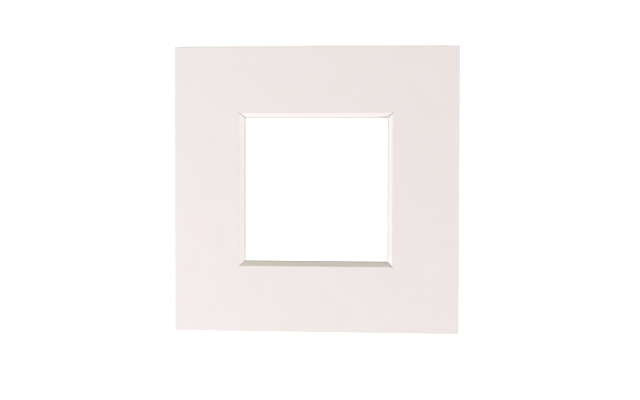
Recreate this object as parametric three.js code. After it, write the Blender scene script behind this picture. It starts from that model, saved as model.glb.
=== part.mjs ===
// Picture mount: a square of thick mountboard with a square window cut in its middle.
// It lies face up. The back is at z = 0, +Z points out of the face and +Y to the top edge.
// The window is smallest at the back, where its sight edge meets the picture, and its
// edge slopes from there up to the face as one bevel, mitred in the corners.

import * as THREE from 'three';
import { LoftGeometry } from 'three/addons/geometries/LoftGeometry.js';

// Sizes in millimetres.
const mountWidth = 152.4;
const mountHeight = 152.4;
const boardThickness = 2.8;

// Clear opening at the sight edge.
const sightWidth = 76.2;
const sightHeight = 76.2;

// Slope of the bevel, in degrees up from the back of the board.
const bevelAngle = 45;

// Rounding that the guillotine leaves where the face meets the outer edges.
const faceArrisRadius = 0.3;
const faceArrisSteps = 4;

// Four corners of a level rectangle about the Z axis.
function rectangle(width, height, z) {
  return [
    new THREE.Vector3(-width / 2, -height / 2, z),
    new THREE.Vector3(-width / 2, height / 2, z),
    new THREE.Vector3(width / 2, height / 2, z),
    new THREE.Vector3(width / 2, -height / 2, z),
  ];
}

// The border's section, followed from the sight edge up the bevel, out over the face,
// down the outer edge and back in underneath. Each point of it is a rectangle that runs
// right round the mount, so the strips between them meet in a mitre at every corner.
function borderSections() {
  const bevelRun = boardThickness / Math.tan(THREE.MathUtils.degToRad(bevelAngle));
  const sightEdge = rectangle(sightWidth, sightHeight, 0);
  const faceEdge = rectangle(sightWidth + 2 * bevelRun, sightHeight + 2 * bevelRun, boardThickness);

  const faceArris = [];
  for (let step = 0; step <= faceArrisSteps; step++) {
    const angle = (step / faceArrisSteps) * (Math.PI / 2);
    const inset = faceArrisRadius * (1 - Math.sin(angle));
    const drop = faceArrisRadius * (1 - Math.cos(angle));
    faceArris.push(rectangle(mountWidth - 2 * inset, mountHeight - 2 * inset, boardThickness - drop));
  }

  const backEdge = rectangle(mountWidth, mountHeight, 0);
  return [sightEdge, faceEdge, ...faceArris, backEdge, sightEdge];
}

// The loft closes on itself. Without shared corners its strips shade flat.
const boardGeometry = new LoftGeometry(borderSections()).toNonIndexed();
boardGeometry.computeVertexNormals();

const mountboard = new THREE.MeshStandardMaterial({
  color: 0xf1e8e6,
  roughness: 0.9,
  metalness: 0,
});

const mountBoard = new THREE.Mesh(boardGeometry, mountboard);
mountBoard.name = 'mount_board';

const pictureMount = new THREE.Group();
pictureMount.name = 'picture_mount';
pictureMount.add(mountBoard);

export default pictureMount;
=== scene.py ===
"""A picture mount lying face up on a white table and seen from above.

The light comes low from the left and the right, with a faint fill from behind and from all round.
"""
import math
from typing import NamedTuple

import bpy
from mathutils import Euler, Matrix, Vector, noise


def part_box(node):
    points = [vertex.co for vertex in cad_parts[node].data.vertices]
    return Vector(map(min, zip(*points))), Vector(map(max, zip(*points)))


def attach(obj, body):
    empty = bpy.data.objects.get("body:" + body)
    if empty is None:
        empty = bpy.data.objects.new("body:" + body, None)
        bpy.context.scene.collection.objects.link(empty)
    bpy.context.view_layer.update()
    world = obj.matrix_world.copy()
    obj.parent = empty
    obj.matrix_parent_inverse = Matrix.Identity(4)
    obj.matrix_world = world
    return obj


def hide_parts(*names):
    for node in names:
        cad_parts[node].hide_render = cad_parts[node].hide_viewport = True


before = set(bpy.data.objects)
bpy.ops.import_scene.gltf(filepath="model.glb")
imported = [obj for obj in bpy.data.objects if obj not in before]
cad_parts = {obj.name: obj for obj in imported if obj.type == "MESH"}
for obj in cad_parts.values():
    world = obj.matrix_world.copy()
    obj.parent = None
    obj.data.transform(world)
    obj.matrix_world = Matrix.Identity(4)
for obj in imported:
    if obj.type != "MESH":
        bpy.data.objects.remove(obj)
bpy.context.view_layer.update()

MM = 0.001

# Colours, linear.
WHITE = (1.0, 1.0, 1.0)
FACE_COLOUR = (0.880, 0.807, 0.790)
CORE_COLOUR = (0.915, 0.850, 0.828)
KERF_SHADE_COLOUR = (0.660, 0.610, 0.565)     # the core darkened as painted shade inside the thin cuts at the mitres
# The back paper's colour, darkened so that its cut edge at the bevel's foot shows as a painted shade line;
# this also greys the whole back.
BACKING_AND_FOOT_SHADE_COLOUR = (0.660, 0.630, 0.600)
TABLE_COLOUR = (0.50, 0.50, 0.50)

# The board's own sizes, read from the CAD node that this scene dresses.
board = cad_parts["mount_board"]
_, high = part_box("mount_board")
OUTER = Vector((high.x, high.y))
THICKNESS = high.z
cad_points = [vertex.co for vertex in board.data.vertices]
SIGHT = Vector((min(abs(point.x) for point in cad_points), min(abs(point.y) for point in cad_points)))
FACE_LEVEL = THICKNESS - 0.01 * MM      # a CAD point above this lies on the face
BEVEL_RUN = min(abs(point.x) for point in cad_points if point.z > FACE_LEVEL) - SIGHT.x

# The plies that show in a cut.
FACE_PLY = 0.25 * MM        # thickness of the coloured paper on the face
BACK_PLY = 0.5 * MM         # thickness of the greyer paper on the back, thick enough for its painted shade line at the bevel's foot to show

# The window's edges.
SIGHT_FLAT = 0.03 * MM      # width of the blunt tip at the sight edge
WINDOW_ARRIS = 0.25 * MM    # how far the face paper turns down into the bevel
TURN_SHARES = (0.0, 0.3, 0.6, 1.0)      # where the rows of that turn lie, as shares of its width
CORE_SHARES = (0.35, 0.65)  # where the rows inside the core lie, as shares of the thickness
OVERCUT = 0.9 * MM          # how far the blade ran past each window corner, at the face
BACK_OVERCUT = 0.4          # share of the overcut that is left at the back
SLIT = 0.2 * MM             # half the width that the overcut leaves open

# The outer edges.
ARRIS = 0.2 * MM            # rounding where they meet the face
ARRIS_STEPS = 5             # strips that the rounding is made of
BACK_ARRIS = 0.12 * MM      # chamfer where they meet the back
DUBBING = 0.5 * ARRIS       # how far each corner is dubbed

# Rows on the flats, close to the edges, that keep the shading of the flats flat.
WINDOW_MARGIN = 2.0 * WINDOW_ARRIS
MARGIN_NOTCH = 0.8 * OVERCUT            # how far the window's row runs out at the corners
MARGIN_SLIT = 1.3 * SLIT                # and half the width of that notch
FACE_MARGIN = 2.0 * ARRIS
BACK_MARGIN = 4.0 * BACK_ARRIS

# The waver of the cut.
WAVER = 0.035 * MM          # how far the window's edges stray from a straight line
CORE_WAVER = 0.4 * WAVER    # the same inside the core
DRIFT_SHARE, DRIFT_LENGTH = 0.7, 9.0    # the blade's slow drift, and its length in mm
TORN_SHARE, TORN_LENGTH = 0.6, 0.9      # torn fibre, and its length in mm
HEIGHT_WEIGHT = 1000.0      # heights count this much more in the noise, so that each row strays alone

SIDE_STEPS = 96             # pieces that each side is divided into
SIDE_POINTS = SIDE_STEPS + 2            # a corner's tip and both ends of the side are points too
SHARP_ANGLE = math.radians(30)          # edges where the surface turns more than this stay sharp

CORNERS = [Vector((1, -1)), Vector((1, 1)), Vector((-1, 1)), Vector((-1, -1))]


def add_object(name, data):
    """A new object in the scene, for a mesh, a light or a camera."""
    thing = bpy.data.objects.new(name, data)
    bpy.context.collection.objects.link(thing)
    return thing


# The board.


class Row(NamedTuple):
    """A closed line round the border, and what the strip from it to the next row is made of."""

    half: Vector        # half the width and half the depth of its rectangle
    height: float
    notch: float        # how far each corner's tip runs out, or is dubbed where it is below zero
    slit: float         # how far from the corner the straight side starts
    waver: float
    beside: str         # the strip's surface along the sides
    at_corner: str      # and at the corners


class RowPoint(NamedTuple):
    """A point of a row."""

    place: Vector
    along: float        # how far along its side it lies, counted from the side's middle


def section():
    """The border's rows: from the sight edge up the bevel, over the face, down the outer edge and back."""
    rows = []

    def window_row(spread, height, beside, at_corner, waver=WAVER, notch=OVERCUT, slit=SLIT):
        half = SIGHT + Vector((spread, spread))
        rows.append(Row(half, height, notch, slit, waver, beside, at_corner))

    def bevel_row(height, beside, waver=WAVER):
        share = height / THICKNESS
        notch = OVERCUT * (BACK_OVERCUT + (1.0 - BACK_OVERCUT) * share)
        # At the window's corners these strips take the darker slit colour: painted shade inside the
        # overcuts.
        window_row(BEVEL_RUN * share, height, beside, "kerf_shade", waver, notch)

    def edge_row(inset, height, surface):
        half = OUTER - Vector((inset, inset))
        rows.append(Row(half, height, -DUBBING, ARRIS, 0.0, surface, surface))

    # The bevel, from the sight edge up to the face paper.
    # The foot of the bevel is the back paper, whose darkened grey paints the shade along the sight edge.
    window_row(SIGHT_FLAT, 0.0, "backing_and_foot_shade", "backing_and_foot_shade", notch=OVERCUT * BACK_OVERCUT)
    bevel_row(BACK_PLY, "core")
    for share in CORE_SHARES:
        bevel_row(share * THICKNESS, "core", CORE_WAVER)
    bevel_row(THICKNESS - FACE_PLY, "face")

    # The face paper's turn into the bevel, and the face beside it.
    for share in TURN_SHARES:
        spread = BEVEL_RUN - 0.5 * WINDOW_ARRIS + WINDOW_ARRIS * share
        dip = WINDOW_ARRIS * 0.5 * (1.0 - share) ** 2
        # Up to the face, the corner strips take the darker slit colour: painted shade inside the overcuts.
        window_row(spread, THICKNESS - dip, "face", "kerf_shade" if share < 1.0 else "face")
    window_row(BEVEL_RUN + WINDOW_MARGIN, THICKNESS, "face", "face", 0.0, MARGIN_NOTCH, MARGIN_SLIT)

    # The outer edge, rounded at the face and chamfered at the back.
    edge_row(FACE_MARGIN, THICKNESS, "face")
    for step in range(ARRIS_STEPS + 1):
        angle = math.radians(90.0 * step / ARRIS_STEPS)
        inset = ARRIS * (1.0 - math.sin(angle))
        drop = ARRIS * (1.0 - math.cos(angle))
        edge_row(inset, THICKNESS - drop, "face" if step < ARRIS_STEPS else "core")
    edge_row(0.0, BACK_ARRIS, "backing_and_foot_shade")
    edge_row(BACK_ARRIS, 0.0, "backing_and_foot_shade")
    edge_row(BACK_MARGIN, 0.0, "backing_and_foot_shade")
    return rows


def stray(point, row):
    """How far a row strays at a point: a slow drift of the blade and a little torn fibre."""
    place = Vector((point.x, point.y, row.height * HEIGHT_WEIGHT)) / MM
    drift = DRIFT_SHARE * noise.noise(place / DRIFT_LENGTH)
    torn = TORN_SHARE * noise.noise(place / TORN_LENGTH)
    return row.waver * (drift + torn)


def ring(row):
    """A row's points, counter-clockwise: at each corner its tip, and then the side that follows."""
    points = []
    for index, corner in enumerate(CORNERS):
        following = CORNERS[(index + 1) % len(CORNERS)]
        along = (following - corner) / 2
        outward = Vector((along.y, -along.x))
        here = corner * row.half
        there = following * row.half
        tip = here + corner.normalized() * row.notch
        points.append(RowPoint(Vector((*tip, row.height)), here.dot(along)))
        start = here + along * row.slit
        end = there - along * row.slit
        for step in range(SIDE_STEPS + 1):
            point = start.lerp(end, step / SIDE_STEPS)
            point += outward * stray(point, row)
            points.append(RowPoint(Vector((*point, row.height)), point.dot(along)))
    return points


def make_board(materials):
    """The mount as one closed mesh, with a strip of faces from each row to the next."""
    rows = section()
    rings = [ring(row) for row in rows]
    count = len(rings[0])
    slots = list(materials)

    # Distance round the section, so that the grain of the cut can run along each side.
    travel = [0.0]
    for first, second in zip(rings, rings[1:] + rings[:1]):
        travel.append(travel[-1] + (second[1].place - first[1].place).length)

    vertices = [point.place for points in rings for point in points]
    faces, uvs, surfaces = [], [], []
    for r, row in enumerate(rows):
        q = (r + 1) % len(rows)
        for i in range(count):
            j = (i + 1) % count
            faces.append((r * count + i, q * count + i, q * count + j, r * count + j))
            # A side's last strip ends at a corner's tip, which is measured along the next side.
            last = i if j % SIDE_POINTS == 0 else j
            uvs += [(rings[r][i].along, travel[r]), (rings[q][i].along, travel[r + 1]),
                    (rings[q][last].along, travel[r + 1]), (rings[r][last].along, travel[r])]
            touches_tip = 0 in (i % SIDE_POINTS, j % SIDE_POINTS)
            surfaces.append(slots.index(row.at_corner if touches_tip else row.beside))

    mesh = bpy.data.meshes.new("mount_sheet")
    mesh.from_pydata(vertices, [], faces)
    layer = mesh.uv_layers.new(name="grain")
    layer.data.foreach_set("uv", [value for uv in uvs for value in uv])
    for material in materials.values():
        mesh.materials.append(material)
    mesh.polygons.foreach_set("material_index", surfaces)
    mesh.shade_smooth()
    mesh.set_sharp_from_angle(angle=SHARP_ANGLE)
    return add_object("mount_sheet", mesh)


# Materials.

FACE_TOOTH = 0.02 * MM      # depth of the paper's tooth
BACKING_TOOTH = 0.03 * MM
STREAK_SCALE = 3600.0       # streaks to the metre, across the cut
STREAK_STRETCH = 0.06       # how much fewer there are along it
STREAK_DEPTH = 0.018 * MM
PULP_DEPTH = 0.015 * MM
PAPER_ROUGHNESS = 0.88
CORE_ROUGHNESS = 0.95
SPECULAR_LEVEL = 0.08       # uncoated board has next to no gloss
DARK_END, LIGHT_END = 0.3, 0.7          # noise values at which a varied colour is darkest and lightest

# The Mix node has sockets of the same names for each kind of value. These are the ones for colours.
MIX_FIRST, MIX_SECOND, MIX_RESULT = 6, 7, 2


class Nodes:
    """A new material's node tree, with a short way to add and join nodes."""

    def __init__(self, name):
        self.material = bpy.data.materials.new(name)
        self.material.use_nodes = True
        self.tree = self.material.node_tree
        self.shader = self.tree.nodes["Principled BSDF"]
        self.output = self.tree.nodes["Material Output"]

    def add(self, kind, **values):
        """Adds a node. Values named after an input set it or join to it, and the rest are properties."""
        node = self.tree.nodes.new("ShaderNode" + kind)
        for name, value in values.items():
            socket = node.inputs.get(name.replace("_", " "))
            if socket is None:
                setattr(node, name, value)
            elif isinstance(value, bpy.types.NodeSocket):
                self.join(value, socket)
            else:
                socket.default_value = value
        return node

    def join(self, source, target):
        """Joins an output to an input."""
        self.tree.links.new(source, target)

    def noise(self, coordinates, scale, detail=3.0, roughness=0.55):
        """A noise pattern whose grains are 1 / scale metres across."""
        node = self.add("TexNoise", Vector=coordinates, Scale=scale, Detail=detail, Roughness=roughness)
        return node.outputs["Fac"]

    def vary(self, colour, pattern, amount, tint=WHITE):
        """The colour, made up to amount lighter or darker by a pattern, with the dark end tinted."""
        ramp = self.add("ValToRGB", Fac=pattern)
        dark, light = ramp.color_ramp.elements
        dark.position = DARK_END
        light.position = LIGHT_END
        dark.color = (*[value * share * (1.0 - amount) for value, share in zip(colour, tint)], 1.0)
        light.color = (*[min(value * (1.0 + amount), 1.0) for value in colour], 1.0)
        return ramp.outputs["Color"]

    def multiply(self, first, second):
        """One colour times another."""
        node = self.add("Mix", data_type="RGBA", blend_type="MULTIPLY")
        node.inputs["Factor"].default_value = 1.0
        self.join(first, node.inputs[MIX_FIRST])
        self.join(second, node.inputs[MIX_SECOND])
        return node.outputs[MIX_RESULT]

    def bump(self, pattern, depth, under=None):
        """Raises the surface by depth metres where the pattern is high, on top of another bump."""
        node = self.add("Bump", Height=pattern, Strength=1.0, Distance=depth)
        if under is not None:
            self.join(under, node.inputs["Normal"])
        return node.outputs["Normal"]

    def finish(self, colour, roughness, normal):
        """Joins the patterns to the shader and gives the finished material."""
        self.join(colour, self.shader.inputs["Base Color"])
        self.join(normal, self.shader.inputs["Normal"])
        self.shader.inputs["Roughness"].default_value = roughness
        self.shader.inputs["Specular IOR Level"].default_value = SPECULAR_LEVEL
        return self.material


def paper(name, colour, tooth):
    """Calendered paper: faint clouding of the pulp, short fibres and a fine tooth."""
    n = Nodes(name)
    place = n.add("TexCoord").outputs["Object"]
    clouds = n.vary(colour, n.noise(place, scale=90.0), amount=0.008, tint=(1.0, 0.997, 0.994))
    fibres = n.vary(WHITE, n.noise(place, scale=1500.0, detail=4.0, roughness=0.7), amount=0.012)
    grain = n.bump(n.noise(place, scale=1100.0, detail=5.0, roughness=0.65), depth=tooth)
    swell = n.bump(n.noise(place, scale=260.0, detail=2.0), depth=0.4 * tooth, under=grain)
    return n.finish(n.multiply(clouds, fibres), PAPER_ROUGHNESS, swell)


def cut_core(name, colour):
    """The pulp core where the blade went through: open fibre, drawn out along the cut."""
    n = Nodes(name)
    along = n.add("UVMap", uv_map="grain").outputs["UV"]
    drawn = n.add("Mapping", Vector=along, Scale=(STREAK_STRETCH, 1.0, 1.0)).outputs["Vector"]
    fine = n.noise(drawn, STREAK_SCALE, detail=4.0, roughness=0.7)
    streaks = n.vary(colour, fine, amount=0.02, tint=(1.0, 0.99, 0.975))
    pulp = n.vary(WHITE, n.noise(along, scale=700.0), amount=0.012)
    fibre = n.bump(n.noise(along, scale=2200.0), PULP_DEPTH)
    furrows = n.bump(n.noise(drawn, STREAK_SCALE, detail=4.0), STREAK_DEPTH, under=fibre)
    return n.finish(n.multiply(streaks, pulp), CORE_ROUGHNESS, furrows)


materials = {
    "face": paper("mount_face_paper", FACE_COLOUR, FACE_TOOTH),
    "core": cut_core("mount_cut_core", CORE_COLOUR),
    # The core in a darker colour, as painted shade inside the overcut slits at the window's corners.
    "kerf_shade": cut_core("mount_corner_kerf", KERF_SHADE_COLOUR),
    # The back paper, in a grey darkened so that its edge at the bevel's foot is a painted shade line.
    "backing_and_foot_shade": paper("mount_backing_paper", BACKING_AND_FOOT_SHADE_COLOUR, BACKING_TOOTH),
}
sheet = make_board(materials)
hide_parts("mount_board")
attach(sheet, "root")


# Table and light.

TABLE_SIZE = 1.6
TABLE_GAP = 0.05 * MM       # the board isn't perfectly flat, so a hair of air lies under it
WHITE_LIFT = 0.8            # what the camera sees added to the lit table, so that only close shadows show
AMBIENT = (0.15, 0.15, 0.10)            # light from all round


def seen_rays(tree):
    """An output that is 1 for what the camera sees, also in a reflection or through glass."""
    rays = tree.nodes.new("ShaderNodeLightPath").outputs
    seen = rays["Is Camera Ray"]
    for kind in ("Is Glossy Ray", "Is Transmission Ray"):
        either = tree.nodes.new("ShaderNodeMath")
        either.operation = "MAXIMUM"
        tree.links.new(seen, either.inputs[0])
        tree.links.new(rays[kind], either.inputs[1])
        seen = either.outputs[0]
    return seen


def table_white():
    """A matt grey in the room's light, with white added to it for the camera and for reflections."""
    n = Nodes("white_table")
    n.tree.nodes.remove(n.shader)
    strength = n.add("Math", operation="MULTIPLY", Value=seen_rays(n.tree))
    strength.inputs[1].default_value = WHITE_LIFT
    diffuse = n.add("BsdfDiffuse", Color=(*TABLE_COLOUR, 1.0))
    lift = n.add("Emission", Strength=strength.outputs[0])
    both = n.add("AddShader")
    n.join(diffuse.outputs[0], both.inputs[0])
    n.join(lift.outputs[0], both.inputs[1])
    n.join(both.outputs[0], n.output.inputs["Surface"])
    return n.material


def make_table():
    """A square white table top, which isn't part of the object."""
    half = TABLE_SIZE / 2
    mesh = bpy.data.meshes.new("table")
    mesh.from_pydata([(corner.x * half, corner.y * half, 0.0) for corner in CORNERS], [], [(0, 1, 2, 3)])
    mesh.materials.append(table_white())
    table = add_object("table", mesh)
    table.location.z = -TABLE_GAP


def make_world(colour):
    """Even light of one colour from all round, which the camera sees as plain white."""
    world = bpy.data.worlds.new("studio")
    world.use_nodes = True
    bpy.context.scene.world = world
    nodes, links = world.node_tree.nodes, world.node_tree.links
    light = nodes["Background"]
    light.inputs["Color"].default_value = (*colour, 1.0)
    light.inputs["Strength"].default_value = 1.0
    seen = nodes.new("ShaderNodeBackground")
    seen.inputs["Color"].default_value = (*WHITE, 1.0)
    mix = nodes.new("ShaderNodeMixShader")
    links.new(seen_rays(world.node_tree), mix.inputs["Fac"])
    links.new(light.outputs[0], mix.inputs[1])
    links.new(seen.outputs[0], mix.inputs[2])
    links.new(mix.outputs[0], nodes["World Output"].inputs["Surface"])


def make_softbox(name, toward, distance, size, level):
    """A square light aimed at the mount. At level 1 a surface that faces it renders as its own colour."""
    data = bpy.data.lights.new(name, "AREA")
    data.size = size
    data.color = [value / max(level) for value in level]
    data.energy = max(level) * (math.pi * distance) ** 2
    light = add_object(name, data)
    light.location = Vector(toward).normalized() * distance
    light.rotation_euler = light.location.to_track_quat("Z", "Y").to_euler()


make_table()
make_world(AMBIENT)
make_softbox("left_softbox", toward=(-1.35, -0.52, 1.0), distance=1.6, size=0.5, level=(0.975, 0.98, 1.068))
make_softbox("right_softbox", toward=(3.0, -0.4, 1.0), distance=2.2, size=0.7, level=(0.91, 0.93, 0.985))
make_softbox("back_softbox", toward=(0.2, 3.0, 0.8), distance=1.8, size=0.6, level=(0.11, 0.11, 0.055))


# Camera.

# Where the middle of the mount's face lies in the camera's view, and how the mount is turned there.
VIEW_OFFSET = Vector((-2.3, 5.4, -745.8)) * MM
VIEW_TURN = [math.radians(angle) for angle in (1.9, -5.6, -0.3)]
IMAGE_WIDTH = 640
FOCAL_PIXELS = 1400
SENSOR_WIDTH = 36.0         # in mm, as Blender's lens length is

camera_data = bpy.data.cameras.new("camera")
camera_data.sensor_width = SENSOR_WIDTH
camera_data.lens = SENSOR_WIDTH * FOCAL_PIXELS / IMAGE_WIDTH
camera = add_object("camera", camera_data)
turn = Euler(VIEW_TURN, "XYZ").to_matrix().to_4x4()
to_camera = Matrix.Translation(VIEW_OFFSET) @ turn @ Matrix.Translation((0.0, 0.0, -THICKNESS))
camera.matrix_world = to_camera.inverted()
bpy.context.scene.camera = camera

bpy.context.scene.view_settings.view_transform = "Standard"
